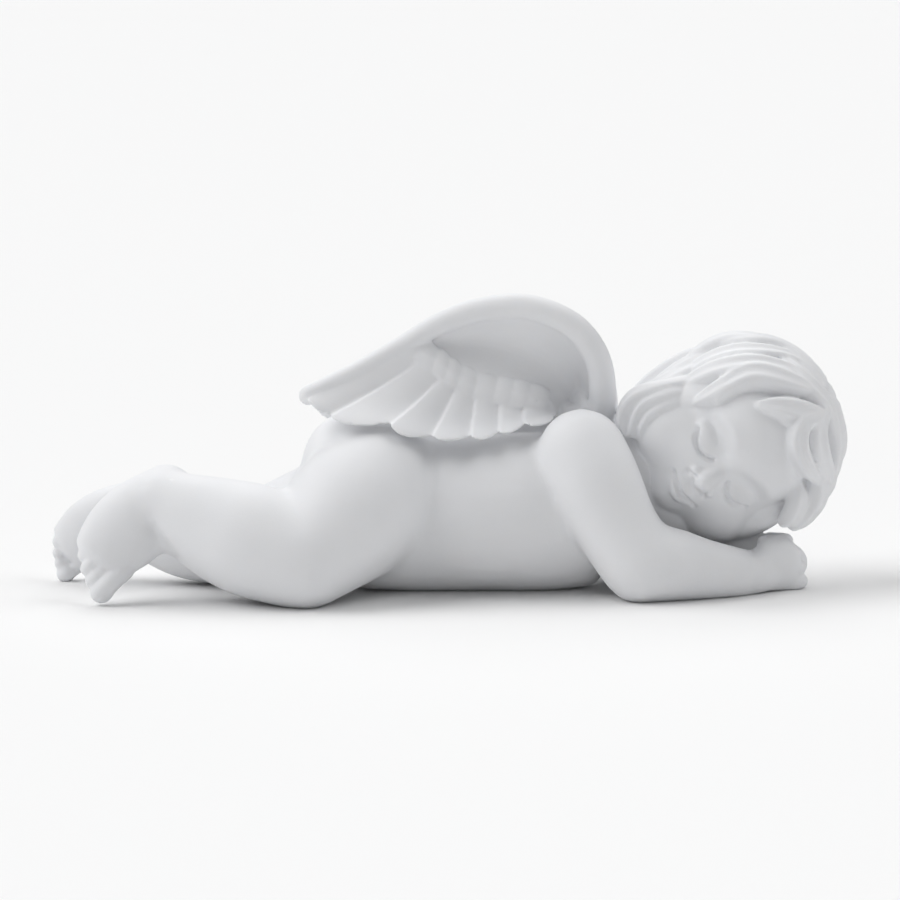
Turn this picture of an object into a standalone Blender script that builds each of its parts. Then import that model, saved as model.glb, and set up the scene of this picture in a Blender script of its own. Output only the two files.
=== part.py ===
"""A sleeping putto in unglazed porcelain: one solid figure lying on its front, head on its folded arm.

The figure is built as a modeller would build it in clay. Lofted limbs and rounded lumps are laid on a
skeleton, fused into one skin with a voxel Remesh and softened. Hair, feathers, fingers, toes and features
are then laid on that skin, fused again, and the finest lines are pressed in. Sizes are millimetres of a
figure about 150 mm long, brought to LENGTH in metres at the end. +X runs towards the head, +Y away from
the side that the face looks to, and +Z up.
"""

import math

import bmesh
import bpy
import numpy as np
from mathutils import Matrix, Vector

LENGTH = 0.150            # toes to crown, as it lies
GROUND = 0.35             # height of the table: what hangs lower is ground away to flat resting patches
BODY_VOXEL = 0.8          # grid of the fused body, then of the skin with everything laid on
DETAIL_VOXEL = 0.5
BODY_SOFTENING = 14       # passes of smoothing on the body, the head, the whole skin and the face
HEAD_SOFTENING = 34
DETAIL_SOFTENING = 2
FACE_SOFTENING = 3
FIRST_TRIANGLES = 19000   # what the skin is thinned to before the face, toes and fingers are held
TRIANGLES = 9300

# Lean of the trunk: the figure's right side, which faces -Y, is rolled up by this much.
ROLL = math.radians(20)
RIGHT = Vector((0, -math.cos(ROLL), math.sin(ROLL)))
MIDLINE = Vector((10, 1.5, 17))


# Clay tools

def catmull_rom(stations, steps):
    """Points on a smooth curve through the stations, each a row of numbers, with steps points to a span."""
    rows = np.array(stations, float)
    ends = np.vstack([2 * rows[0] - rows[1], rows, 2 * rows[-1] - rows[-2]])
    found = []
    for a, b, c, d in zip(ends[:-3], ends[1:-2], ends[2:-1], ends[3:]):
        for t in np.arange(steps) / steps:
            found.append(0.5 * (2 * b + (c - a) * t + (2 * a - 5 * b + 4 * c - d) * t**2
                                + (3 * b - a - 3 * c + d) * t**3))
    found.append(rows[-1])
    return np.array(found)


def loft(bm, stations, side, steps=6, around=24, blunt=1.0):
    """A closed limb through stations of (x, y, z, half width, half thickness), with round ends.

    A station without a half thickness is round. side is the direction that the half width is measured in,
    or a rule that gives it from the place and the direction of travel. blunt is how far the round ends
    reach, as a share of the end's own thickness.
    """
    rows = [row if len(row) == 5 else (*row, row[3]) for row in stations]
    curve = catmull_rom(rows, steps)
    centres, widths, depths = curve[:, :3], curve[:, 3], curve[:, 4]
    tangents = np.gradient(centres, axis=0)
    rings = []
    cap = [math.radians(a) for a in (75, 50, 25)]
    for end, order in ((0, 1), (-1, -1)):
        tangent = Vector(tangents[end]).normalized() * -order
        reach = blunt * min(widths[end], depths[end])
        shell = [(Vector(centres[end]) + tangent * reach * math.sin(a), Vector(tangents[end]),
                  widths[end] * math.cos(a), depths[end] * math.cos(a)) for a in cap]
        rings.append((Vector(centres[end]) + tangent * reach, shell))
    body = [(Vector(c), Vector(t), w, d) for c, t, w, d in zip(centres, tangents, widths, depths)]
    (first_pole, first), (last_pole, last) = rings
    loops = []
    for centre, tangent, width, depth in [*first, *body, *last[::-1]]:
        tangent = tangent.normalized()
        sideways = side(centre, tangent) if callable(side) else Vector(side)
        across = sideways - tangent * tangent.dot(sideways)
        across.normalize()
        through = tangent.cross(across)
        loops.append([bm.verts.new(centre + across * width * math.cos(a) + through * depth * math.sin(a))
                      for a in (2 * math.pi * k / around for k in range(around))])
    for one, two in zip(loops[:-1], loops[1:]):
        for k in range(around):
            n = (k + 1) % around
            bm.faces.new((one[k], one[n], two[n], two[k]))
    for pole, loop, forward in ((first_pole, loops[0], False), (last_pole, loops[-1], True)):
        tip = bm.verts.new(pole)
        for k in range(around):
            n = (k + 1) % around
            bm.faces.new((loop[k], loop[n], tip) if forward else (loop[n], loop[k], tip))


def lump(bm, centre, radii, axes=None):
    """An ellipsoid. axes is a 3x3 whose columns are the directions of the radii."""
    turn = (axes or Matrix.Identity(3)).to_4x4()
    size = Matrix.Diagonal((*radii, 1))
    bmesh.ops.create_uvsphere(bm, u_segments=32, v_segments=20, radius=1,
                              matrix=Matrix.Translation(centre) @ turn @ size)


def frame_of(*columns):
    """A 3x3 with these directions as its columns, made square to each other in that order."""
    made = []
    for column in columns:
        v = Vector(column)
        for before in made:
            v -= before * before.dot(v)
        made.append(v.normalized())
    return Matrix(made).transposed()


def fused(bm, voxel, softening, name):
    """One skin round everything in bm: a voxel remesh, then a smoothing. It returns a new mesh."""
    mesh = bpy.data.meshes.new(name)
    bm.normal_update()
    bm.to_mesh(mesh)
    holder = bpy.data.objects.new(name, mesh)
    bpy.context.scene.collection.objects.link(holder)
    remesh = holder.modifiers.new("skin", "REMESH")
    remesh.mode = "VOXEL"
    remesh.voxel_size = voxel
    if softening:
        soft = holder.modifiers.new("soften", "SMOOTH")
        soft.factor = 0.5
        soft.iterations = softening
    graph = bpy.context.evaluated_depsgraph_get()
    skin = bpy.data.meshes.new_from_object(holder.evaluated_get(graph))
    bpy.data.objects.remove(holder)
    return skin


# Body

def add_trunk(bm):
    loft(bm, [(-22, 3, 17.5, 12, 11), (-12, 2.5, 16.5, 14.5, 13.5), (2, 0, 15, 14.6, 14.4),
              (15, 0.5, 15.5, 15, 14.4), (26, 2, 18, 14, 12), (33, 4, 21, 9.5, 9.5)], RIGHT, blunt=0.7)
    lump(bm, (-15.5, -2, 20), (12.5, 13, 12.6))
    lump(bm, (-15, 11, 17.2), (12, 11.5, 13))
    lump(bm, (-18.1, 1.5, 22.9), (9.8, 11, 10.8))
    loft(bm, [(-16, -1.5, 14.2, 12.4, 13.7), (-6, -0.3, 14.1, 13.2, 14.1), (5, 0.6, 14.1, 13.6, 14.2),
              (17, 0.6, 14.1, 13.4, 14.2), (26, 1.2, 14.2, 11.5, 13.6)], (0, 1, 0), blunt=0.4)


def add_legs(bm):
    loft(bm, [(-13, -4, 19.6, 13), (-18.5, -11, 15.8, 12.8), (-26, -18.5, 10.2, 10.4)], (1, 0, 0))
    loft(bm, [(-27, -19.5, 9.3, 9.8), (-35.7, -17, 11.9, 10.6), (-41.4, -15, 13.6, 10.0),
              (-47, -13.5, 15.7, 8.5), (-53, -12, 18, 6.6)], (0, 0, 1))
    loft(bm, [(-15, 9, 15, 12.5), (-28, 7, 11, 10.5), (-38, 4.5, 8.3, 8.6)], (0, 0, 1))
    loft(bm, [(-38, 4.5, 8.3, 8.6), (-49, 5.5, 9.3, 8.1), (-56, 7, 11, 6.8), (-61, 8, 13, 6.0)], (0, 0, 1))


def add_arms(bm):
    loft(bm, [(24.5, -7.5, 27, 8.4), (27.3, -10.7, 21.8, 8.2), (31.1, -12.4, 13.5, 7.7),
              (35.4, -13.4, 7.4, 7.8)], (1, 0, 0))
    loft(bm, [(35.8, -13.4, 7.2, 7.3), (41, -12, 6.8, 7.0), (47, -10, 5.6, 5.8),
              (53.6, -7, 4.5, 4.7), (57.5, -4.5, 4.0, 4.0)], (0, 0, 1))
    loft(bm, [(25, 12, 20, 8), (32, 15, 13, 7.3), (38, 16, 7, 6.8)], (1, 0, 0))
    loft(bm, [(38, 15, 7.2, 7.2), (48, 10, 8, 6.6), (57, 5.5, 6, 4.6)], (0, 0, 1))
    lump(bm, (40, 5, 14), (8, 8, 8))


# Feet and hands. A foot's frame runs heel to toes, then across to the big toe, then out of the sole.

RIGHT_ANKLE = Vector((-53.5, -12, 18))
RIGHT_FOOT = frame_of((-0.67, -0.35, -0.66), (0.74, -0.17, -0.65), (0, 1, 0))
RIGHT_SCALE = 1.07
LEFT_ANKLE = Vector((-61.1, 8, 13.5))
LEFT_FOOT = frame_of((-0.81, 0.06, -0.58), (0.58, -0.02, -0.81), (0, -1, 0))
LEFT_SCALE = 0.89

# Along the foot, across it towards the big toe, half thickness and reach of each toe.
TOES = [(14.6, 3.1, 2.05, 3.6), (15.0, 0.7, 1.4, 2.8), (14.4, -1.4, 1.35, 2.5),
        (13.3, -3.4, 1.3, 2.2), (11.9, -5.2, 1.25, 1.9)]


def add_foot(bm, ankle, axes, scale):
    """The sole and the back of a foot, with the toes left off."""
    def at(along, across, out):
        return ankle + axes @ Vector((along, across, out)) * scale
    stations = [(-2.9, -0.9, 1.2, 5.2, 4.8), (2, -0.9, 0.8, 6.8, 5.4), (8, -1.2, 0.4, 7.1, 4.6),
                (13.4, -1.1, 0, 5.9, 3.1)]
    loft(bm, [(*at(*row[:3]), row[3] * scale, row[4] * scale) for row in stations], axes.col[1])


def add_toes(bm, ankle, axes, scale):
    for along, across, radius, reach in TOES:
        def at(far, out):
            return ankle + axes @ Vector((along + far, across, out)) * scale
        loft(bm, [(*at(-2, 0), radius * scale), (*at(reach * 0.5, -0.5), radius * 0.92 * scale),
                  (*at(reach, 0.3), radius * scale)], axes.col[1], steps=4, around=16)


def add_hand(bm):
    lump(bm, (61.0, -2.6, 5.6), (5.2, 3.2, 5.6), frame_of((0.93, 0.37, 0), (0.37, -0.93, 0), (0, 0, 1)))
    lump(bm, (62, 4, 4.6), (5.6, 4, 4.4))


def add_fingers(bm):
    for height, reach in ((1.7, 66.0), (4.3, 65.6), (6.9, 64.7), (9.3, 63.2)):
        loft(bm, [(reach - 4.5, -2.0, height, 1.4), (reach - 0.6, -0.6, height, 1.45),
                  (reach - 0.5, 3.2, height - 0.2, 1.3), (reach - 3, 6.2, height - 0.4, 1.2)],
             (0, 0, 1), steps=4, around=16)


# Head. Its frame runs to the figure's left, up to the crown, and forward out of the face.

HEAD_CENTRE = Vector((55.5, 3, 29.0))
FACING = Vector((-0.10, -0.96, -0.22)).normalized()
CROWN = frame_of(FACING, (0.86, -0.18, 0.48), (0, 0, 1)).col[1]
HEAD = frame_of(CROWN.cross(FACING), CROWN, FACING)


def on_head(side, up, forward):
    return HEAD_CENTRE + HEAD @ Vector((side, up, forward))


def add_head(bm):
    lump(bm, on_head(0, 0.5, -1.5), (15.2, 14.3, 16.5), HEAD)
    lump(bm, on_head(0, -7.2, 1.0), (15.2, 12.2, 13.2), HEAD)
    for side in (-1, 1):
        lump(bm, on_head(side * 7.6, -10.8, 4.6), (8.2, 7.8, 7.4), HEAD)
    lump(bm, on_head(0, -15.8, 8.0), (5.2, 4.2, 4.8), HEAD)
    lump(bm, on_head(0, -11.4, 9.0), (5.4, 4.4, 5.4), HEAD)
    lump(bm, on_head(0, 2.4, 5.2), (12.8, 10.2, 10.5), HEAD)


def add_neck(bm):
    loft(bm, [(27, 4, 20, 10), (36, 6, 23, 9.2), (46, 8, 26, 9.5)], (0, 1, 0))


def add_features(bm):
    nose = [(-3.0, 12.0, 1.4), (-5.8, 13.3, 1.6), (-8.0, 14.7, 1.95)]
    loft(bm, [(*on_head(0, y, z), r) for y, z, r in nose], HEAD.col[0], steps=4, around=16)
    for side in (-1, 1):
        lump(bm, on_head(side * 2.0, -8.7, 13.6), (1.45, 1.25, 1.6), HEAD)
        lump(bm, on_head(side * 5.8, -4.0, 9.9), (4.1, 3.0, 3.0), HEAD)
    upper = [(-3.3, -12.7, 12.3, 0.6), (-1.5, -12.0, 13.3, 0.95), (0, -12.2, 13.6, 0.9),
             (1.5, -12.0, 13.3, 0.95), (3.3, -12.7, 12.3, 0.6)]
    lower = [(-2.4, -13.7, 12.2, 0.7), (0, -14.1, 13.1, 1.2), (2.4, -13.7, 12.2, 0.7)]
    for lip in (upper, lower):
        loft(bm, [(*on_head(x, y, z), r) for x, y, z, r in lip], HEAD.col[1], steps=4, around=16)


# Hair. Each lock is a flattened strand laid on the skull along (longitude, latitude) in degrees:
# longitude 0 is the middle of the face and grows towards the figure's left, latitude grows to the crown.

HAIR_CENTRE = (0.6, 1.5, -2)
HAIR_RADII = (15.9, 13.9, 16.5)


def on_skull(longitude, latitude, height):
    lon, lat = math.radians(longitude), math.radians(latitude)
    out = (math.sin(lon) * math.cos(lat), math.sin(lat), math.cos(lon) * math.cos(lat))
    return on_head(*(c + o * (r + height) for c, o, r in zip(HAIR_CENTRE, out, HAIR_RADII)))


def along_skull(centre, tangent):
    return tangent.cross(centre - on_head(*HAIR_CENTRE))


def add_bundle(bm, centres, width, thickness):
    """A lock of hair along the points: a broad body with two fine strands on it, all pointed at the ends."""
    count = len(centres) - 1
    full = [max(0.28, math.sin(math.pi * (0.15 + 0.78 * k / count)) ** 0.7) for k in range(count + 1)]
    sizes = [(width * f, thickness * (0.35 + 0.65 * f)) for f in full]
    loft(bm, [(*c, *size) for c, size in zip(centres, sizes)], along_skull, steps=2, around=16)
    middle = on_head(*HAIR_CENTRE)
    for share in (-0.45, 0.42):
        strand = []
        for k, (centre, (wide, deep)) in enumerate(zip(centres, sizes)):
            heading = centres[min(k + 1, count)] - centres[max(k - 1, 0)]
            out = (centre - middle).normalized()
            across = heading.cross(out).normalized()
            strand.append((*(centre + across * wide * share + out * deep * 0.5), wide * 0.42, deep * 0.64))
        loft(bm, strand, along_skull, steps=2, around=12)


def add_lock(bm, path, width, height=0.0, thickness=2.3):
    """A lock laid on the skull through the path's (longitude, latitude) points."""
    add_bundle(bm, [on_skull(lon, lat, height - 0.3) for lon, lat in catmull_rom(path, 3)], width, thickness)


FRONT_LOCKS = [
    ([(-95, 66), (-80, 42), (-78, 16), (-80, -8), (-84, -30)], 2.7, 0.7),
    ([(-58, 60), (-62, 36), (-64, 14), (-68, -10), (-75, -34)], 2.6, 1.1),
    ([(-56, 34), (-53, 14), (-51, -3), (-53, -18)], 2.0, 0.9),
    ([(-36, 64), (-47, 46), (-54, 28), (-52, 12), (-46, -2)], 2.8, 1.3),
    ([(6, 66), (-13, 51), (-24, 38), (-32, 24)], 2.6, 0.9),
    ([(-2, 58), (-9, 47), (-18, 35)], 2.4, 0.5),
    ([(2, 62), (-4, 46), (6, 35), (25, 31), (46, 30)], 2.2, 1.3),
    ([(8, 72), (13, 54), (30, 44), (56, 35), (72, 18)], 2.5, 0.9),
    ([(-40, 74), (30, 80), (58, 63), (68, 46), (80, 26)], 2.8, 0.6),
    ([(-74, 52), (-52, 62), (-20, 72), (20, 74), (52, 60)], 2.5, 0.9),
    ([(-98, 40), (-98, 14), (-96, -10), (-88, -34)], 3.2, 1.3),
    ([(-20, 84), (-70, 70), (-92, 50), (-100, 26)], 3.2, 0.2),
    ([(40, 84), (80, 72), (92, 52), (90, 26)], 3.4, 0.3),
    ([(84, 44), (88, 20), (86, -2), (80, -22)], 3.2, 0.4),
]
BACK_LOCKS = 10         # waved locks from the crown down the back of the head

# Locks that hang clear of the skull: (side, up, forward) on the head for the mass at the nape, then
# (x, y, z) on the table for the curls by the right cheek and below the left temple.
NAPE_LOCKS = [
    ([(-13.6, 7, -4), (-15.4, -2, -2.5), (-14.8, -10, -1.5), (-13.4, -17, 0.5)], 3.0),
    ([(-12, 4, -11.5), (-15, -4, -8), (-14.9, -12, -6.5), (-13.4, -18.5, -4)], 3.3),
    ([(-6, 2, -16), (-10, -6, -13.5), (-12.5, -13, -10.5), (-11.5, -19, -8)], 3.5),
    ([(13.6, 2, 0), (15.6, -4, -1), (16, -9, -2), (14.5, -14, -2)], 3.0),
]
CURLS = [
    ([(47.0, 1, 42.0), (42.0, 1, 39.2), (37, 1, 36.2), (32.4, 1.5, 33.0)], 3.0),
    ([(42.0, -2.2, 36.6), (38.8, -2.8, 38.0), (35.6, -2.6, 37.4), (33.4, -2.2, 35.0), (32.6, -2.2, 32.2),
      (33.4, -2.8, 29.8)], 1.9),
    ([(40.0, -3.6, 35.0), (37.6, -3.7, 35.4), (36.1, -3.5, 33.6), (35.4, -3.2, 31.0)], 1.6),
    ([(66.6, -4.4, 26.4), (68.2, -4.6, 22.4), (68.0, -4.4, 18.4), (65.8, -4, 14.8), (63.6, -3.6, 12.8)], 2.2),
    ([(64.0, -6.0, 22.2), (64.6, -6.0, 18.8), (63.4, -5.2, 15.4), (61.6, -4.4, 13.6)], 1.8),
    ([(70.0, -1, 25.2), (69.8, -0.4, 20.6), (67.2, 0, 15.6)], 2.6),
]


def add_hair(bm):
    lump(bm, on_head(0, 1.5, -3.2), (15.7, 13.4, 15.2), HEAD)
    lump(bm, on_head(-11, -11, -5), (5.8, 9, 7.5), HEAD)
    lump(bm, on_head(-12, -3, 2.5), (4.2, 9, 6), HEAD)
    lump(bm, on_head(13, -5, 3), (4.2, 9, 6), HEAD)
    lump(bm, on_head(11, -8, -6), (7.2, 8.5, 8.2), HEAD)
    lump(bm, (37.6, -1.6, 34.2), (4.0, 2.4, 4.0))
    lump(bm, (65.6, -2.8, 18.4), (3.0, 2.6, 5.0))
    for path, width, height in FRONT_LOCKS:
        add_lock(bm, path, width, height)
    for path, width in NAPE_LOCKS:
        add_bundle(bm, [on_head(*point) for point in catmull_rom(path, 3)], width, 2.4)
    for path, width in CURLS:
        add_bundle(bm, [Vector(point) for point in catmull_rom(path, 3)], width, 2.0)
    for k in range(BACK_LOCKS):
        longitude = 94 + 164 * k / (BACK_LOCKS - 1)
        sway = 7 * (-1) ** k
        path = [(longitude, 82), (longitude + sway, 52), (longitude - sway, 20), (longitude + sway, -12),
                (longitude - sway, -42)]
        add_lock(bm, path, 3.6, 0.2 + 0.6 * (k % 2))


# Wings. The near one is drawn on (x, z), with y as its depth, and the far one is its mirror image.

RIM = [(27.0, 5, 28, 2.8), (28.5, 1.5, 36, 2.6), (27.4, -0.5, 44.0, 2.5), (22.6, -1.5, 50.3, 2.5),
       (14.2, -1.0, 53.6, 2.4), (5.5, 0, 52.9, 2.3), (-2.0, 0.5, 50.2, 2.1), (-10, 0.3, 45.5, 1.9),
       (-18, -1.8, 41.2, 1.9), (-26.2, -4.4, 37.4, 1.9)]
COVERT_LINE = [(22.0, 3.5, 30.0), (18.4, 2.0, 35.2), (13.5, 0.3, 37.4), (9.6, 0, 37.9), (4.7, 0, 38.9),
               (0.8, 0, 41.0), (-1.8, 0.2, 43.2), (-6.3, 0.8, 45.8)]
BOWL_DEPTH = 8.0
WING_ROOT = Vector((27, 20, 23))
FAR_TURN = Matrix.Rotation(math.radians(4.8), 3, "Y")

# Seams between the feathers, from the long outer feather to the short inner one: the upper end of each
# seam and its lower end, which is the notch between two feather tips.
SEAMS = [((-9.5, 0.6, 46.6), (-26.4, -4.8, 36.9)), ((-4.2, 0.4, 44.2), (-22.2, -6.8, 34.2)),
         ((-0.6, 0.2, 41.2), (-11.0, -9.0, 32.9)), ((1.6, 0.1, 39.2), (-3.3, -9.4, 30.7)),
         ((5.0, 0.1, 37.6), (3.9, -8.6, 30.5)), ((9.6, 0.2, 36.7), (9.2, -7.0, 31.0)),
         ((13.6, 0.6, 36.2), (14.1, -4.6, 32.3)), ((18.2, 1.6, 35.8), (19.4, -1.0, 32.6))]
TIP_BULGE = (0.03, 0.10, 0.13, 0.10, 0.12, 0.14, 0.2)
FEATHER_STEP = 1.4      # how far a feather's leading edge stands in front of its neighbour
COVERTS = 8


def add_sheet(bm, rows, thick, put):
    """A closed sheet, half thickness thick, round a grid of points of the near wing."""
    front = [[bm.verts.new(put(p - Vector((0, thick, 0)))) for p in row] for row in rows]
    back = [[bm.verts.new(put(p + Vector((0, thick, 0)))) for p in row] for row in rows]
    last, end = len(rows) - 1, len(rows[0]) - 1
    for i in range(last):
        for j in range(end):
            bm.faces.new((front[i][j], front[i + 1][j], front[i + 1][j + 1], front[i][j + 1]))
            bm.faces.new((back[i][j], back[i][j + 1], back[i + 1][j + 1], back[i + 1][j]))
        bm.faces.new((front[i][0], back[i][0], back[i + 1][0], front[i + 1][0]))
        bm.faces.new((front[i][end], front[i + 1][end], back[i + 1][end], back[i][end]))
    for j in range(end):
        bm.faces.new((front[0][j], front[0][j + 1], back[0][j + 1], back[0][j]))
        bm.faces.new((front[last][j], back[last][j], back[last][j + 1], front[last][j + 1]))


def add_bowl(bm, put, spans=30, across=14):
    """The hollow of a wing, from the front of the rim down to the foot of the coverts."""
    rim = catmull_rom(RIM[:8], 12)
    foot = catmull_rom(COVERT_LINE, 12)
    rows = []
    for i in range(spans + 1):
        s = i / spans
        *top, radius = rim[round(s * (len(rim) - 1))]
        low = Vector(foot[round(s * (len(foot) - 1))])
        depth = BOWL_DEPTH * (0.12 + 0.88 * math.cos(0.5 * math.pi * s) ** 0.7)
        row = []
        for j in range(across + 1):
            t = j / across
            roll = (radius - 1.3) * math.cos(0.5 * math.pi * t)
            sink = depth * math.sin(math.pi * t ** 0.85) ** 1.25 - roll
            row.append(Vector(top).lerp(low, t) + Vector((0, sink, 0)))
        rows.append(row)
    add_sheet(bm, rows, 1.3, put)


def add_feather(bm, put, left, right, bulge):
    """A feather between two seams. Its left edge stands out, and its right edge goes under the next one."""
    (left_top, left_foot), (right_top, right_foot) = left, right
    rows = []
    for u in np.linspace(0, 1.18, 15):
        top = Vector(left_top).lerp(Vector(right_top), u)
        foot = Vector(left_foot).lerp(Vector(right_foot), u)
        reach = 1 + bulge * max(0, math.sin(math.pi * min(1, u))) ** 0.8 - 1.2 * max(0, u - 1)
        row = []
        for t in np.linspace(0, reach, 18):
            rise = FEATHER_STEP * (1 - u) * min(1, 0.25 + 1.5 * t) + 0.45 * math.sin(math.pi * min(1, u))
            hollow = 1.3 * math.sin(math.pi * min(1, t))
            row.append(top.lerp(foot, t) + Vector((0, hollow - rise, -0.4 * hollow)))
        rows.append(row)
    add_sheet(bm, rows, 0.95, put)


def add_covert(bm, put, left, right):
    """A small scale at the foot of the bowl, flush with it above and standing out at its lower edge."""
    rows = []
    for u in np.linspace(0, 1, 7):
        foot = left.lerp(right, u)
        drop = 2.0 + 0.4 * math.sin(math.pi * u)
        row = []
        for t in np.linspace(-1, 1, 9):
            rise = 0.8 + 0.45 * t + 0.3 * math.sin(math.pi * u) ** 0.5
            row.append(foot + Vector((-0.25 * t * drop, 1.2 * max(0, -t) - rise, -t * drop)))
        rows.append(row)
    add_sheet(bm, rows, 0.8, put)


def add_wing(bm, put):
    """One wing. put carries a point of the near wing to where this wing has it."""
    def flat(centre, tangent):
        return tangent.cross(put(Vector((0, -0.9, 0.35))) - put(Vector((0, 0, 0))))
    loft(bm, [(*put(Vector(row[:3])), row[3]) for row in RIM], flat, around=20)
    root = [(26, 6.5, 27.5, 5.0), (17, 5.5, 29, 4.4), (7, 4, 28.5, 4.0)]
    loft(bm, [(*put(Vector(row[:3])), row[3]) for row in root], flat, around=16)
    add_bowl(bm, put)
    for left, right, bulge in zip(SEAMS[:-1], SEAMS[1:], TIP_BULGE):
        add_feather(bm, put, left, right, bulge)
    line = catmull_rom(COVERT_LINE[1:], 8)
    places = [Vector(line[round(k * (len(line) - 1) / COVERTS)]) for k in range(COVERTS + 1)]
    for left, right in zip(places[:-1], places[1:]):
        add_covert(bm, put, right, left)


def near(point):
    return point.copy()


def far(point):
    """The point's mirror image across the middle of the trunk, turned up a little about the wing's root."""
    mirrored = point - RIGHT * (2 * (point - MIDLINE).dot(RIGHT))
    return WING_ROOT + FAR_TURN @ (mirrored - WING_ROOT) + Vector((0, 0, 1))


# Lines pressed into the finished skin

def press(points, normals, path, look, width, depth):
    """Moves the points near the path inwards, or outwards for a negative depth, with soft edges.

    The path is followed as it is seen along look, so it need not lie on the skin exactly.
    """
    curve = catmull_rom([tuple(p) for p in path], 8)
    look = np.array(look) / np.linalg.norm(look)
    reach = 3 * width + 2.5
    low, high = curve.min(axis=0) - reach, curve.max(axis=0) + reach
    facing = normals @ look > 0.15
    close = np.flatnonzero(((points > low) & (points < high)).all(axis=1) & facing)
    if not len(close):
        return
    here = points[close]
    nearest = np.full(len(close), 1e9)
    for a, b in zip(curve[:-1], curve[1:]):
        line = b - a
        line = line - look * (line @ look)
        away = here - a
        away = away - np.outer(away @ look, look)
        t = np.clip(away @ line / (line @ line + 1e-12), 0, 1)
        nearest = np.minimum(nearest, ((away - t[:, None] * line) ** 2).sum(axis=1))
    points[close] -= normals[close] * (depth * np.exp(-nearest / width**2))[:, None]


def pressed_lines():
    """Each line as its path, the side it is seen from, its width and its depth."""
    def face(*path):
        return [on_head(*point) for point in path], FACING
    for side in (-1, 1):
        yield *face((side * 2.7, -4.7, 12.6), (side * 4.1, -5.8, 13), (side * 5.8, -6.2, 13),
                    (side * 7.5, -5.8, 12), (side * 9.0, -4.6, 11)), 0.4, 0.75
        yield *face((side * 3.0, -2.0, 12.6), (side * 5.8, -0.7, 13.0), (side * 8.8, -2.0, 11.2)), 0.9, 0.16
        yield *face((side * 3.2, 0.8, 14), (side * 6.2, 1.8, 13), (side * 9.2, 0.6, 12)), 1.2, -0.3
        yield *face((side * 1.9, -8.9, 15.2), (side * 2.9, -9.9, 14)), 0.5, 0.35
    yield *face((-3.9, -12.7, 13), (-1.7, -13.0, 14.4), (0, -13.25, 14.8), (1.7, -13.0, 14.4),
                (3.9, -12.7, 13)), 0.42, 0.6
    yield [(56.5, -9.5, 9.5), (57.0, -9.5, 5.5), (56.2, -8.5, 2.0)], (0, -1, 0.2), 1.3, 0.4
    yield [(-54.5, -18, 14.5), (-52.2, -18, 11.5), (-50.5, -17, 9.0)], (0, -1, 0), 0.9, 0.5


def sockets():
    """The hollows of the eyes, pressed before the lids are laid in."""
    for side in (-1, 1):
        yield [on_head(side * 3.6, -2.6, 13), on_head(side * 7.4, -2.8, 12)], FACING, 2.6, 1.1


def press_lines(skin, lines):
    count = len(skin.vertices)
    points = np.empty(count * 3)
    skin.vertices.foreach_get("co", points)
    points = points.reshape(-1, 3)
    normals = np.empty(count * 3, np.float32)
    skin.vertex_normals.foreach_get("vector", normals)
    normals = normals.reshape(-1, 3).astype(float)
    for path, look, width, depth in lines:
        press(points, normals, path, look, width, depth)
    skin.vertices.foreach_set("co", points.ravel())
    skin.update()


def softened_face(skin):
    """The skin with the face smoothed where its features were laid on, and the rest left sharp."""
    holder = bpy.data.objects.new("face", skin)
    bpy.context.scene.collection.objects.link(holder)
    group = holder.vertex_groups.new(name="face")
    middle = on_head(0, -8, 14)
    for vertex in skin.vertices:
        away = (vertex.co - middle).length
        if away < 13:
            group.add([vertex.index], min(1, (13 - away) / 3), "REPLACE")
    soft = holder.modifiers.new("soften", "SMOOTH")
    soft.factor = 0.5
    soft.iterations = FACE_SOFTENING
    soft.vertex_group = "face"
    made = bpy.data.meshes.new_from_object(holder.evaluated_get(bpy.context.evaluated_depsgraph_get()))
    bpy.data.objects.remove(holder)
    return made


def largest_piece(bm):
    """Deletes all but the piece of the mesh that has the most vertices."""
    left = set(bm.verts)
    pieces = []
    while left:
        found = {left.pop()}
        edge = list(found)
        while edge:
            v = edge.pop()
            for link in v.link_edges:
                other = link.other_vert(v)
                if other in left:
                    left.remove(other)
                    found.add(other)
                    edge.append(other)
        pieces.append(found)
    pieces.sort(key=len)
    for piece in pieces[:-1]:
        bmesh.ops.delete(bm, geom=list(piece), context="VERTS")


def fineness(point):
    """How much of its detail a place keeps: all of it on the face, the toes and the fingers."""
    spots = ((on_head(0, -8, 14), 13), (RIGHT_ANKLE + RIGHT_FOOT @ Vector((15, -1, 0)), 7),
             (LEFT_ANKLE + LEFT_FOOT @ Vector((13, -1, 0)), 6), (Vector((64, 0, 5.5)), 6))
    return max(min(1, max(0, (reach - (point - middle).length) / 2)) for middle, reach in spots)


def thinned(skin, triangles):
    """The mesh with this many triangles left, fewest where it is flattest.

    The whole skin is thinned evenly first, and then only what lies off the face, toes and fingers.
    """
    holder = bpy.data.objects.new("thin", skin)
    bpy.context.scene.collection.objects.link(holder)
    group = holder.vertex_groups.new(name="plain")
    for vertex in skin.vertices:
        group.add([vertex.index], 1 - fineness(vertex.co), "REPLACE")
    skin.calc_loop_triangles()
    count = len(skin.loop_triangles)
    for name, left in (("even", FIRST_TRIANGLES), ("plain", triangles)):
        fewer = holder.modifiers.new(name, "DECIMATE")
        fewer.ratio = left / count
        fewer.use_collapse_triangulate = True
        if name == "plain":
            fewer.vertex_group = group.name
        count = left
    made = bpy.data.meshes.new_from_object(holder.evaluated_get(bpy.context.evaluated_depsgraph_get()))
    bpy.data.objects.remove(holder)
    return made


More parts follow.
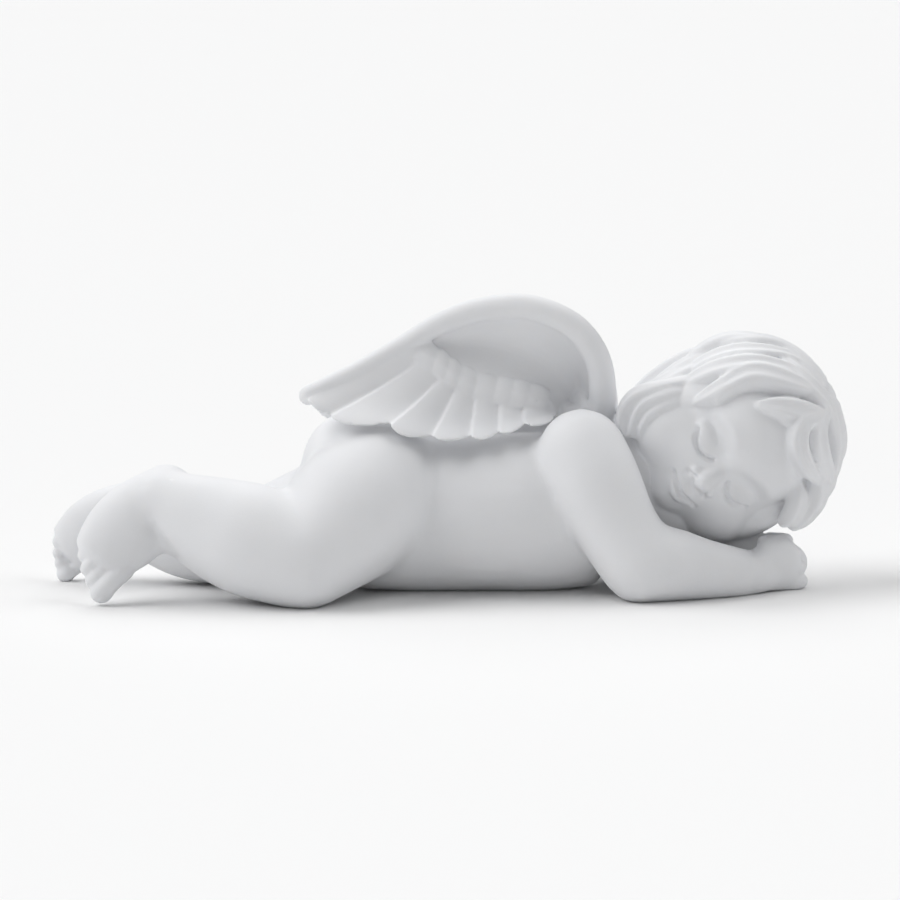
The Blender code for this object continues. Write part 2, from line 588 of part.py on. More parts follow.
def ground_flat(bm, height):
    """Cuts away what hangs below the height and closes the cuts with flat faces."""
    everything = [*bm.verts, *bm.edges, *bm.faces]
    bmesh.ops.bisect_plane(bm, geom=everything, plane_co=(0, 0, height), plane_no=(0, 0, -1),
                           clear_outer=True)
    rim = [edge for edge in bm.edges if edge.is_boundary]
    bmesh.ops.holes_fill(bm, edges=rim, sides=0)
    bmesh.ops.triangulate(bm, faces=bm.faces)


def figure_mesh():
    bm = bmesh.new()
    add_trunk(bm)
    add_legs(bm)
    add_arms(bm)
    add_foot(bm, RIGHT_ANKLE, RIGHT_FOOT, RIGHT_SCALE)
    add_foot(bm, LEFT_ANKLE, LEFT_FOOT, LEFT_SCALE)
    add_hand(bm)
    add_neck(bm)
    body = fused(bm, BODY_VOXEL, BODY_SOFTENING, "body")
    bm.free()
    bm = bmesh.new()
    add_head(bm)
    head = fused(bm, BODY_VOXEL, HEAD_SOFTENING, "head")
    press_lines(head, sockets())
    bm.free()
    bm = bmesh.new()
    bm.from_mesh(body)
    bm.from_mesh(head)
    add_features(bm)
    add_hair(bm)
    add_wing(bm, near)
    add_wing(bm, far)
    add_toes(bm, RIGHT_ANKLE, RIGHT_FOOT, RIGHT_SCALE)
    add_toes(bm, LEFT_ANKLE, LEFT_FOOT, LEFT_SCALE)
    add_fingers(bm)
    skin = fused(bm, DETAIL_VOXEL, DETAIL_SOFTENING, "skin")
    bm.free()
    skin = softened_face(skin)
    press_lines(skin, pressed_lines())
    return thinned(skin, TRIANGLES)


def porcelain():
    made = bpy.data.materials.new("porcelain")
    made.use_nodes = True
    shader = made.node_tree.nodes["Principled BSDF"]
    shader.inputs["Base Color"].default_value = (0.80, 0.81, 0.83, 1)
    shader.inputs["Roughness"].default_value = 0.6
    return made


def build():
    for old in list(bpy.data.objects):
        bpy.data.objects.remove(old)
    mesh = figure_mesh()
    bm = bmesh.new()
    bm.from_mesh(mesh)
    largest_piece(bm)
    ground_flat(bm, GROUND)
    xs = [v.co.x for v in bm.verts]
    ys = [v.co.y for v in bm.verts]
    centre = Vector((0.5 * (min(xs) + max(xs)), 0.5 * (min(ys) + max(ys)), GROUND))
    scale = LENGTH / (max(xs) - min(xs))
    for v in bm.verts:
        v.co = (v.co - centre) * scale
    bm.to_mesh(mesh)
    bm.free()
    figure = bpy.data.objects.new("sleeping_angel", mesh)
    bpy.context.scene.collection.objects.link(figure)
    mesh.materials.append(porcelain())
    mesh.shade_smooth()


build()
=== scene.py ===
"""The sleeping angel with its full carving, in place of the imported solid.

The skin is made as the solid's is, by the same steps and sizes, but on a finer grid, so that locks, lids,
toes and feathers stay crisp. Only the curl by the right cheek has longer and finer strands here, and the
lines of the eyes, nostrils and mouth are deeper. The skin is then fitted to the solid's box.
Sizes of the carving are millimetres of a figure drawn 150 mm long, and add_figure turns them to metres.
"""
import math

import bmesh
import bpy
import numpy as np
from mathutils import Matrix, Vector


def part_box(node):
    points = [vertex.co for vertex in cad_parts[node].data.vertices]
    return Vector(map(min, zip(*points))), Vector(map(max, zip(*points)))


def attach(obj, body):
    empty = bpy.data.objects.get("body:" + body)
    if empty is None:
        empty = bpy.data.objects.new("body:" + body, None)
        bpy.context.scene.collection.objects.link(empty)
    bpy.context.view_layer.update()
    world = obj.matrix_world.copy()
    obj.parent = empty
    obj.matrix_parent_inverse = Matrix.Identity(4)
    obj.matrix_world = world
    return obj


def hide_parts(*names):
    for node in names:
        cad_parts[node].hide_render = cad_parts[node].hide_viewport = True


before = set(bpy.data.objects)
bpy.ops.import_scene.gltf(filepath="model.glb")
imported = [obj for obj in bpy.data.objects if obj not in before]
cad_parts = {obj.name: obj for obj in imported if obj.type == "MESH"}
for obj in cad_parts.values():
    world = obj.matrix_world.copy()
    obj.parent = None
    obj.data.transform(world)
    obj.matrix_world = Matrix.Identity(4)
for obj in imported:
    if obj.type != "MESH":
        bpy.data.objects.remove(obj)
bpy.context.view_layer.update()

GROUND = 0.35           # height of the table: what hangs lower is ground away to flat resting patches
BODY_VOXEL = 0.8        # cells of the grid that fuses the body, and the head
DETAIL_VOXEL = 0.32     # and of the one that fuses both with the small parts
BODY_SOFTENING = 14     # passes of smoothing on the fused body
HEAD_SOFTENING = 34     # on the fused head
DETAIL_SOFTENING = 5    # on the whole skin, after the small parts are laid on
FACE_SOFTENING = 5      # and once more on the face alone
TRIANGLES = 196000      # left in the finished skin

# The trunk leans: the figure's right side, which faces -Y, is rolled up by this much.
ROLL = math.radians(20)
RIGHT = Vector((0, -math.cos(ROLL), math.sin(ROLL)))
MIDLINE = Vector((10, 1.5, 17))     # a point on the plane that halves the trunk


# Clay tools

def catmull_rom(stations, steps):
    """Points on a smooth curve through the stations, each a row of numbers, with steps points to a span."""
    rows = np.array(stations, float)
    ends = np.vstack([2 * rows[0] - rows[1], rows, 2 * rows[-1] - rows[-2]])
    found = []
    for a, b, c, d in zip(ends[:-3], ends[1:-2], ends[2:-1], ends[3:]):
        for t in np.arange(steps) / steps:
            found.append(0.5 * (2 * b + (c - a) * t + (2 * a - 5 * b + 4 * c - d) * t**2
                                + (3 * b - a - 3 * c + d) * t**3))
    found.append(rows[-1])
    return np.array(found)


def round_end(ring, outward, blunt):
    """The pole beyond an end ring, and the smaller rings on the way there, with the smallest first."""
    centre, tangent, width, depth = ring
    away = tangent.normalized() * outward
    reach = blunt * min(width, depth)
    shell = [(centre + away * reach * math.sin(a), tangent, width * math.cos(a), depth * math.cos(a))
             for a in map(math.radians, (75, 50, 25))]
    return centre + away * reach, shell


def add_ring(bm, ring, side, around):
    """The points of one ring: its centre, its direction of travel, half width and half thickness."""
    centre, tangent, width, depth = ring
    tangent = tangent.normalized()
    sideways = side(centre, tangent) if callable(side) else Vector(side)
    across = sideways - tangent * tangent.dot(sideways)
    across.normalize()
    through = tangent.cross(across)
    turns = [2 * math.pi * k / around for k in range(around)]
    return [bm.verts.new(centre + across * width * math.cos(a) + through * depth * math.sin(a))
            for a in turns]


def loft(bm, stations, side, steps=6, around=24, blunt=1.0):
    """A closed limb through stations of (x, y, z, half width, half thickness), with round ends.

    A station without a half thickness is round. side is the direction that the half width is measured in,
    or a rule that gives it from the place and the direction of travel. blunt is how far the round ends
    reach, as a share of the end's own thickness.
    """
    rows = [row if len(row) == 5 else (*row, row[3]) for row in stations]
    curve = catmull_rom(rows, steps)
    centres, widths, depths = curve[:, :3], curve[:, 3], curve[:, 4]
    tangents = np.gradient(centres, axis=0)
    body = [(Vector(c), Vector(t), w, d) for c, t, w, d in zip(centres, tangents, widths, depths)]
    first_pole, first = round_end(body[0], -1, blunt)
    last_pole, last = round_end(body[-1], 1, blunt)
    loops = [add_ring(bm, ring, side, around) for ring in [*first, *body, *last[::-1]]]
    for one, two in zip(loops[:-1], loops[1:]):
        for k in range(around):
            n = (k + 1) % around
            bm.faces.new((one[k], one[n], two[n], two[k]))
    for pole, loop, forward in ((first_pole, loops[0], False), (last_pole, loops[-1], True)):
        tip = bm.verts.new(pole)
        for k in range(around):
            n = (k + 1) % around
            bm.faces.new((loop[k], loop[n], tip) if forward else (loop[n], loop[k], tip))


def lump(bm, centre, radii, axes=None):
    """An ellipsoid. axes is a 3x3 whose columns are the directions of the radii."""
    turn = (axes or Matrix.Identity(3)).to_4x4()
    size = Matrix.Diagonal((*radii, 1))
    bmesh.ops.create_uvsphere(bm, u_segments=32, v_segments=20, radius=1,
                              matrix=Matrix.Translation(centre) @ turn @ size)


def frame_of(*columns):
    """A 3x3 with these directions as its columns, made square to each other in that order."""
    made = []
    for column in columns:
        v = Vector(column)
        for before in made:
            v -= before * before.dot(v)
        made.append(v.normalized())
    return Matrix(made).transposed()


def held(mesh, name):
    """An object in the scene that carries the mesh while modifiers work on it."""
    holder = bpy.data.objects.new(name, mesh)
    bpy.context.scene.collection.objects.link(holder)
    return holder


def add_smoothing(holder, passes):
    soft = holder.modifiers.new("soften", "SMOOTH")
    soft.factor = 0.5
    soft.iterations = passes
    return soft


def applied(holder):
    """A new mesh with the holder's modifiers worked in. The holder goes."""
    graph = bpy.context.evaluated_depsgraph_get()
    made = bpy.data.meshes.new_from_object(holder.evaluated_get(graph))
    bpy.data.objects.remove(holder)
    return made


def fused(bm, voxel, softening, name):
    """One skin round everything in bm, smoothed in so many passes. It empties bm."""
    mesh = bpy.data.meshes.new(name)
    bm.normal_update()
    bm.to_mesh(mesh)
    bm.free()
    holder = held(mesh, name)
    remesh = holder.modifiers.new("skin", "REMESH")
    remesh.mode = "VOXEL"
    remesh.voxel_size = voxel
    add_smoothing(holder, softening)
    return applied(holder)


# Body

def add_trunk(bm):
    loft(bm, [(-22, 3, 17.5, 12, 11), (-12, 2.5, 16.5, 14.5, 13.5), (2, 0, 15, 14.6, 14.4),
              (15, 0.5, 15.5, 15, 14.4), (26, 2, 18, 14, 12), (33, 4, 21, 9.5, 9.5)], RIGHT, blunt=0.7)
    lump(bm, (-15.5, -2, 20), (12.5, 13, 12.6))
    lump(bm, (-15, 11, 17.2), (12, 11.5, 13))
    lump(bm, (-18.1, 1.5, 22.9), (9.8, 11, 10.8))
    loft(bm, [(-16, -1.5, 14.2, 12.4, 13.7), (-6, -0.3, 14.1, 13.2, 14.1), (5, 0.6, 14.1, 13.6, 14.2),
              (17, 0.6, 14.1, 13.4, 14.2), (26, 1.2, 14.2, 11.5, 13.6)], (0, 1, 0), blunt=0.4)


def add_legs(bm):
    loft(bm, [(-13, -4, 19.6, 13), (-18.5, -11, 15.8, 12.8), (-26, -18.5, 10.2, 10.4)], (1, 0, 0))
    loft(bm, [(-27, -19.5, 9.3, 9.8), (-35.7, -17, 11.9, 10.6), (-41.4, -15, 13.6, 10.0),
              (-47, -13.5, 15.7, 8.5), (-53, -12, 18, 6.6)], (0, 0, 1))
    loft(bm, [(-15, 9, 15, 12.5), (-28, 7, 11, 10.5), (-38, 4.5, 8.3, 8.6)], (0, 0, 1))
    loft(bm, [(-38, 4.5, 8.3, 8.6), (-49, 5.5, 9.3, 8.1), (-56, 7, 11, 6.8), (-61, 8, 13, 6.0)], (0, 0, 1))


def add_arms(bm):
    loft(bm, [(24.5, -7.5, 27, 8.4), (27.3, -10.7, 21.8, 8.2), (31.1, -12.4, 13.5, 7.7),
              (35.4, -13.4, 7.4, 7.8)], (1, 0, 0))
    loft(bm, [(35.8, -13.4, 7.2, 7.3), (41, -12, 6.8, 7.0), (47, -10, 5.6, 5.8),
              (53.6, -7, 4.5, 4.7), (57.5, -4.5, 4.0, 4.0)], (0, 0, 1))
    loft(bm, [(25, 12, 20, 8), (32, 15, 13, 7.3), (38, 16, 7, 6.8)], (1, 0, 0))
    loft(bm, [(38, 15, 7.2, 7.2), (48, 10, 8, 6.6), (57, 5.5, 6, 4.6)], (0, 0, 1))
    lump(bm, (40, 5, 14), (8, 8, 8))


# Feet and hands. A foot's frame runs heel to toes, then across to the big toe, then out of the sole.

RIGHT_ANKLE = Vector((-53.5, -12, 18))
RIGHT_FOOT = frame_of((-0.67, -0.35, -0.66), (0.74, -0.17, -0.65), (0, 1, 0))
RIGHT_SCALE = 1.07
LEFT_ANKLE = Vector((-61.1, 8, 13.5))
LEFT_FOOT = frame_of((-0.81, 0.06, -0.58), (0.58, -0.02, -0.81), (0, -1, 0))
LEFT_SCALE = 0.89

# Along the foot, across it towards the big toe, half thickness and reach of each toe.
TOES = [(14.6, 3.1, 2.05, 3.6), (15.0, 0.7, 1.4, 2.8), (14.4, -1.4, 1.35, 2.5),
        (13.3, -3.4, 1.3, 2.2), (11.9, -5.2, 1.25, 1.9)]


def add_foot(bm, ankle, axes, scale):
    """The sole and the back of a foot, with the toes left off."""
    def at(along, across, out):
        return ankle + axes @ Vector((along, across, out)) * scale
    stations = [(-2.9, -0.9, 1.2, 5.2, 4.8), (2, -0.9, 0.8, 6.8, 5.4), (8, -1.2, 0.4, 7.1, 4.6),
                (13.4, -1.1, 0, 5.9, 3.1)]
    loft(bm, [(*at(*row[:3]), row[3] * scale, row[4] * scale) for row in stations], axes.col[1])


def add_toes(bm, ankle, axes, scale):
    for along, across, radius, reach in TOES:
        def at(far, out):
            return ankle + axes @ Vector((along + far, across, out)) * scale
        loft(bm, [(*at(-2, 0), radius * scale), (*at(reach * 0.5, -0.5), radius * 0.92 * scale),
                  (*at(reach, 0.3), radius * scale)], axes.col[1], steps=4, around=16)


def add_hand(bm):
    lump(bm, (61.0, -2.6, 5.6), (5.2, 3.2, 5.6), frame_of((0.93, 0.37, 0), (0.37, -0.93, 0), (0, 0, 1)))
    lump(bm, (62, 4, 4.6), (5.6, 4, 4.4))


def add_fingers(bm):
    for height, reach in ((1.7, 66.0), (4.3, 65.6), (6.9, 64.7), (9.3, 63.2)):
        loft(bm, [(reach - 4.5, -2.0, height, 1.4), (reach - 0.6, -0.6, height, 1.45),
                  (reach - 0.5, 3.2, height - 0.2, 1.3), (reach - 3, 6.2, height - 0.4, 1.2)],
             (0, 0, 1), steps=4, around=16)


# Head. Its frame runs to the figure's left, up to the crown, and forward out of the face.

HEAD_CENTRE = Vector((55.5, 3, 29.0))
FACING = Vector((-0.10, -0.96, -0.22)).normalized()
CROWN = frame_of(FACING, (0.86, -0.18, 0.48), (0, 0, 1)).col[1]
HEAD = frame_of(CROWN.cross(FACING), CROWN, FACING)


def on_head(side, up, forward):
    return HEAD_CENTRE + HEAD @ Vector((side, up, forward))


def add_head(bm):
    lump(bm, on_head(0, 0.5, -1.5), (15.2, 14.3, 16.5), HEAD)
    lump(bm, on_head(0, -7.2, 1.0), (15.2, 12.2, 13.2), HEAD)
    for side in (-1, 1):
        lump(bm, on_head(side * 7.6, -10.8, 4.6), (8.2, 7.8, 7.4), HEAD)
    lump(bm, on_head(0, -15.8, 8.0), (5.2, 4.2, 4.8), HEAD)
    lump(bm, on_head(0, -11.4, 9.0), (5.4, 4.4, 5.4), HEAD)
    lump(bm, on_head(0, 2.4, 5.2), (12.8, 10.2, 10.5), HEAD)


def add_neck(bm):
    loft(bm, [(27, 4, 20, 10), (36, 6, 23, 9.2), (46, 8, 26, 9.5)], (0, 1, 0))


def add_features(bm):
    nose = [(-3.0, 12.0, 1.4), (-5.8, 13.3, 1.6), (-8.0, 14.7, 1.95)]
    loft(bm, [(*on_head(0, y, z), r) for y, z, r in nose], HEAD.col[0], steps=4, around=16)
    for side in (-1, 1):
        lump(bm, on_head(side * 2.0, -8.7, 13.6), (1.45, 1.25, 1.6), HEAD)
        lump(bm, on_head(side * 5.8, -4.0, 9.9), (4.1, 3.0, 3.0), HEAD)
    upper = [(-3.3, -12.7, 12.3, 0.6), (-1.5, -12.0, 13.3, 0.95), (0, -12.2, 13.6, 0.9),
             (1.5, -12.0, 13.3, 0.95), (3.3, -12.7, 12.3, 0.6)]
    lower = [(-2.4, -13.7, 12.2, 0.7), (0, -14.1, 13.1, 1.2), (2.4, -13.7, 12.2, 0.7)]
    for lip in (upper, lower):
        loft(bm, [(*on_head(x, y, z), r) for x, y, z, r in lip], HEAD.col[1], steps=4, around=16)


# Hair. Each lock is a flattened strand laid on the skull along (longitude, latitude) in degrees:
# longitude 0 is the middle of the face and grows towards the figure's left, latitude grows to the crown.

HAIR_CENTRE = (0.6, 1.5, -2)
HAIR_RADII = (15.9, 13.9, 16.5)


def on_skull(longitude, latitude, height):
    lon, lat = math.radians(longitude), math.radians(latitude)
    out = (math.sin(lon) * math.cos(lat), math.sin(lat), math.cos(lon) * math.cos(lat))
    return on_head(*(c + o * (r + height) for c, o, r in zip(HAIR_CENTRE, out, HAIR_RADII)))


def along_skull(centre, tangent):
    return tangent.cross(centre - on_head(*HAIR_CENTRE))


def add_bundle(bm, centres, width, thickness):
    """A lock of hair along the points: a broad body with two fine strands on it, all pointed at the ends."""
    count = len(centres) - 1
    full = [max(0.28, math.sin(math.pi * (0.15 + 0.78 * k / count)) ** 0.7) for k in range(count + 1)]
    sizes = [(width * f, thickness * (0.35 + 0.65 * f)) for f in full]
    loft(bm, [(*c, *size) for c, size in zip(centres, sizes)], along_skull, steps=2, around=16)
    middle = on_head(*HAIR_CENTRE)
    for share in (-0.45, 0.42):
        strand = []
        for k, (centre, (wide, deep)) in enumerate(zip(centres, sizes)):
            heading = centres[min(k + 1, count)] - centres[max(k - 1, 0)]
            out = (centre - middle).normalized()
            across = heading.cross(out).normalized()
            strand.append((*(centre + across * wide * share + out * deep * 0.5), wide * 0.42, deep * 0.64))
        loft(bm, strand, along_skull, steps=2, around=12)


def add_lock(bm, path, width, height):
    """A lock laid on the skull through the path's (longitude, latitude) points, a little sunk in."""
    centres = [on_skull(lon, lat, height - 0.3) for lon, lat in catmull_rom(path, 3)]
    add_bundle(bm, centres, width, LOCK_THICKNESS)


FRONT_LOCKS = [
    ([(-95, 66), (-80, 42), (-78, 16), (-80, -8), (-84, -30)], 2.7, 0.7),
    ([(-58, 60), (-62, 36), (-64, 14), (-68, -10), (-75, -34)], 2.6, 1.1),
    ([(-56, 34), (-53, 14), (-51, -3), (-53, -18)], 2.0, 0.9),
    ([(-36, 64), (-47, 46), (-54, 28), (-52, 12), (-46, -2)], 2.8, 1.3),
    ([(6, 66), (-13, 51), (-24, 38), (-32, 24)], 2.6, 0.9),
    ([(-2, 58), (-9, 47), (-18, 35)], 2.4, 0.5),
    ([(2, 62), (-4, 46), (6, 35), (25, 31), (46, 30)], 2.2, 1.3),
    ([(8, 72), (13, 54), (30, 44), (56, 35), (72, 18)], 2.5, 0.9),
    ([(-40, 74), (30, 80), (58, 63), (68, 46), (80, 26)], 2.8, 0.6),
    ([(-74, 52), (-52, 62), (-20, 72), (20, 74), (52, 60)], 2.5, 0.9),
    ([(-98, 40), (-98, 14), (-96, -10), (-88, -34)], 3.2, 1.3),
    ([(-20, 84), (-70, 70), (-92, 50), (-100, 26)], 3.2, 0.2),
    ([(40, 84), (80, 72), (92, 52), (90, 26)], 3.4, 0.3),
    ([(84, 44), (88, 20), (86, -2), (80, -22)], 3.2, 0.4),
]
BACK_LOCKS = 10         # waved locks from the crown down the back of the head
LOCK_THICKNESS = 2.3
NAPE_THICKNESS = 2.4
CURL_THICKNESS = 2.0

# Locks that hang clear of the skull: (side, up, forward) on the head for the mass at the nape, then
# (x, y, z) on the table for the curls by the right cheek and below the left temple.
NAPE_LOCKS = [
    ([(-13.6, 7, -4), (-15.4, -2, -2.5), (-14.8, -10, -1.5), (-13.4, -17, 0.5)], 3.0),
    ([(-12, 4, -11.5), (-15, -4, -8), (-14.9, -12, -6.5), (-13.4, -18.5, -4)], 3.3),
    ([(-6, 2, -16), (-10, -6, -13.5), (-12.5, -13, -10.5), (-11.5, -19, -8)], 3.5),
    ([(13.6, 2, 0), (15.6, -4, -1), (16, -9, -2), (14.5, -14, -2)], 3.0),
]
CURLS = [
    ([(47.0, 1, 42.0), (42.0, 1, 39.2), (37, 1, 36.2), (32.4, 1.5, 33.0)], 3.0),
    ([(46.0, -2.0, 39.6), (42.0, -2.3, 38.7), (38.6, -2.8, 38.0), (35.6, -2.6, 37.0), (33.5, -2.2, 34.8),
      (32.7, -2.2, 32.2), (33.2, -2.8, 29.8)], 1.9),
    ([(44.0, -3.2, 37.4), (40.6, -3.7, 36.9), (37.2, -3.7, 35.6), (35.4, -3.3, 33.0),
      (34.4, -3.1, 29.6)], 1.6),
    ([(43.2, -4.0, 35.8), (40.4, -4.2, 35.0), (38.0, -4.1, 33.4), (36.6, -3.7, 30.8),
      (36.4, -3.4, 28.6)], 1.5),
    ([(66.6, -4.4, 26.4), (68.2, -4.6, 22.4), (68.0, -4.4, 18.4), (65.8, -4, 14.8), (63.6, -3.6, 12.8)], 2.2),
    ([(64.0, -6.0, 22.2), (64.6, -6.0, 18.8), (63.4, -5.2, 15.4), (61.6, -4.4, 13.6)], 1.8),
    ([(70.0, -1, 25.2), (69.8, -0.4, 20.6), (67.2, 0, 15.6)], 2.6),
]


def add_hair(bm):
    lump(bm, on_head(0, 1.5, -3.2), (15.7, 13.4, 15.2), HEAD)
    lump(bm, on_head(-11, -11, -5), (5.8, 9, 7.5), HEAD)
    lump(bm, on_head(-12, -3, 2.5), (4.2, 9, 6), HEAD)
    lump(bm, on_head(13, -5, 3), (4.2, 9, 6), HEAD)
    lump(bm, on_head(11, -8, -6), (7.2, 8.5, 8.2), HEAD)
    lump(bm, (37.6, -1.6, 34.2), (4.0, 2.4, 4.0))
    lump(bm, (65.6, -2.8, 18.4), (3.0, 2.6, 5.0))
    for path, width, height in FRONT_LOCKS:
        add_lock(bm, path, width, height)
    for path, width in NAPE_LOCKS:
        add_bundle(bm, [on_head(*point) for point in catmull_rom(path, 3)], width, NAPE_THICKNESS)
    for path, width in CURLS:
        add_bundle(bm, [Vector(point) for point in catmull_rom(path, 3)], width, CURL_THICKNESS)
    for k in range(BACK_LOCKS):
        longitude = 94 + 164 * k / (BACK_LOCKS - 1)
        sway = 7 * (-1) ** k
        path = [(longitude, 82), (longitude + sway, 52), (longitude - sway, 20), (longitude + sway, -12),
                (longitude - sway, -42)]
        add_lock(bm, path, 3.6, 0.2 + 0.6 * (k % 2))


# Wings. The near one is drawn on (x, z), with y as its depth, and the far one is its mirror image. A row
# of the rim also gives its half width, and the covert line is the foot of the bowl, from the root outwards.

RIM = [(27.0, 5, 28, 2.8), (28.5, 1.5, 36, 2.6), (27.4, -0.5, 44.0, 2.5), (22.6, -1.5, 50.3, 2.5),
       (14.2, -1.0, 53.6, 2.4), (5.5, 0, 52.9, 2.3), (-2.0, 0.5, 50.2, 2.1), (-10, 0.3, 45.5, 1.9),
       (-18, -1.8, 41.2, 1.9), (-26.2, -4.4, 37.4, 1.9)]
COVERT_LINE = [(22.0, 3.5, 30.0), (18.4, 2.0, 35.2), (13.5, 0.3, 37.4), (9.6, 0, 37.9), (4.7, 0, 38.9),
               (0.8, 0, 41.0), (-1.8, 0.2, 43.2), (-6.3, 0.8, 45.8)]
BOWL_DEPTH = 8.0        # of the hollow between the rim and the coverts, at the wing's root
BOWL_WALL = 1.3         # half thicknesses
FEATHER_WALL = 0.95
COVERT_WALL = 0.8
WING_ROOT = Vector((27, 20, 23))    # of the far wing, which stands a little higher than the mirror image
FAR_TURN = Matrix.Rotation(math.radians(4.8), 3, "Y")
FAR_RISE = Vector((0, 0, 1))

# Seams between the feathers, from the long outer feather to the short inner one: the upper end of each
# seam and its lower end, which is the notch between two feather tips.
SEAMS = [((-9.5, 0.6, 46.6), (-26.4, -4.8, 36.9)), ((-4.2, 0.4, 44.2), (-22.2, -6.8, 34.2)),
         ((-0.6, 0.2, 41.2), (-11.0, -9.0, 32.9)), ((1.6, 0.1, 39.2), (-3.3, -9.4, 30.7)),
         ((5.0, 0.1, 37.6), (3.9, -8.6, 30.5)), ((9.6, 0.2, 36.7), (9.2, -7.0, 31.0)),
         ((13.6, 0.6, 36.2), (14.1, -4.6, 32.3)), ((18.2, 1.6, 35.8), (19.4, -1.0, 32.6))]
TIP_BULGE = (0.03, 0.10, 0.13, 0.10, 0.12, 0.14, 0.2)   # reach past its notches, as a share of a feather
FEATHER_STEP = 1.4      # how far a feather's leading edge stands in front of its neighbour
COVERTS = 8             # small scales along the foot of the bowl


def add_sheet(bm, rows, thick, put):
    """A closed sheet, half thickness thick, round a grid of points of the near wing."""
    front = [[bm.verts.new(put(p - Vector((0, thick, 0)))) for p in row] for row in rows]
    back = [[bm.verts.new(put(p + Vector((0, thick, 0)))) for p in row] for row in rows]
    last, end = len(rows) - 1, len(rows[0]) - 1
    for i in range(last):
        for j in range(end):
            bm.faces.new((front[i][j], front[i + 1][j], front[i + 1][j + 1], front[i][j + 1]))
            bm.faces.new((back[i][j], back[i][j + 1], back[i + 1][j + 1], back[i + 1][j]))
        bm.faces.new((front[i][0], back[i][0], back[i + 1][0], front[i + 1][0]))
        bm.faces.new((front[i][end], front[i + 1][end], back[i + 1][end], back[i][end]))
    for j in range(end):
        bm.faces.new((front[0][j], front[0][j + 1], back[0][j + 1], back[0][j]))
        bm.faces.new((front[last][j], back[last][j], back[last][j + 1], front[last][j + 1]))


def add_bowl(bm, put, spans=30, across=14):
    """The hollow of a wing, from the front of the rim down to the foot of the coverts."""
    rim = catmull_rom(RIM[:8], 12)
    foot = catmull_rom(COVERT_LINE, 12)
    rows = []
    for i in range(spans + 1):
        s = i / spans
        *top, radius = rim[round(s * (len(rim) - 1))]
        low = Vector(foot[round(s * (len(foot) - 1))])
        depth = BOWL_DEPTH * (0.12 + 0.88 * math.cos(0.5 * math.pi * s) ** 0.7)
        row = []
        for j in range(across + 1):
            t = j / across
            roll = (radius - BOWL_WALL) * math.cos(0.5 * math.pi * t)
            sink = depth * math.sin(math.pi * t ** 0.85) ** 1.25 - roll
            row.append(Vector(top).lerp(low, t) + Vector((0, sink, 0)))
        rows.append(row)
    add_sheet(bm, rows, BOWL_WALL, put)


def add_feather(bm, put, left, right, bulge):
    """A feather between two seams. Its left edge stands out, and its right edge goes under the next one."""
    (left_top, left_foot), (right_top, right_foot) = left, right
    rows = []
    for u in np.linspace(0, 1.18, 15):
        top = Vector(left_top).lerp(Vector(right_top), u)
        foot = Vector(left_foot).lerp(Vector(right_foot), u)
        reach = 1 + bulge * max(0, math.sin(math.pi * min(1, u))) ** 0.8 - 1.2 * max(0, u - 1)
        row = []
        for t in np.linspace(0, reach, 18):
            rise = FEATHER_STEP * (1 - u) * min(1, 0.25 + 1.5 * t) + 0.45 * math.sin(math.pi * min(1, u))
            hollow = 1.3 * math.sin(math.pi * min(1, t))
            row.append(top.lerp(foot, t) + Vector((0, hollow - rise, -0.4 * hollow)))
        rows.append(row)
    add_sheet(bm, rows, FEATHER_WALL, put)


def add_covert(bm, put, left, right):
    """A small scale at the foot of the bowl, flush with it above and standing out at its lower edge."""
    rows = []
    for u in np.linspace(0, 1, 7):
        foot = left.lerp(right, u)
        drop = 2.0 + 0.4 * math.sin(math.pi * u)
        row = []
        for t in np.linspace(-1, 1, 9):
            rise = 0.8 + 0.45 * t + 0.3 * math.sin(math.pi * u) ** 0.5
            row.append(foot + Vector((-0.25 * t * drop, 1.2 * max(0, -t) - rise, -t * drop)))
        rows.append(row)
    add_sheet(bm, rows, COVERT_WALL, put)


def add_wing(bm, put):
    """One wing. put carries a point of the near wing to where this wing has it."""
    def flat(centre, tangent):
        return tangent.cross(put(Vector((0, -0.9, 0.35))) - put(Vector((0, 0, 0))))
    loft(bm, [(*put(Vector(row[:3])), row[3]) for row in RIM], flat, around=20)
    root = [(26, 6.5, 27.5, 5.0), (17, 5.5, 29, 4.4), (7, 4, 28.5, 4.0)]
    loft(bm, [(*put(Vector(row[:3])), row[3]) for row in root], flat, around=16)
    add_bowl(bm, put)
    for left, right, bulge in zip(SEAMS[:-1], SEAMS[1:], TIP_BULGE):
        add_feather(bm, put, left, right, bulge)
    line = catmull_rom(COVERT_LINE[1:], 8)
    places = [Vector(line[round(k * (len(line) - 1) / COVERTS)]) for k in range(COVERTS + 1)]
    for left, right in zip(places[:-1], places[1:]):
        add_covert(bm, put, right, left)


def near(point):
    return point.copy()


def far(point):
    """The point's mirror image across the middle of the trunk, turned up a little about the wing's root."""
    mirrored = point - RIGHT * (2 * (point - MIDLINE).dot(RIGHT))
    return WING_ROOT + FAR_TURN @ (mirrored - WING_ROOT) + FAR_RISE


# Lines pressed into the finished skin

FACE_REACH = 13         # how far from its middle the face is smoothed
FACE_FADE = 3           # and over how much of that the smoothing fades out
LEAST_FACING = 0.15     # skin is pressed where its slant to a line's side of view has this cosine or more


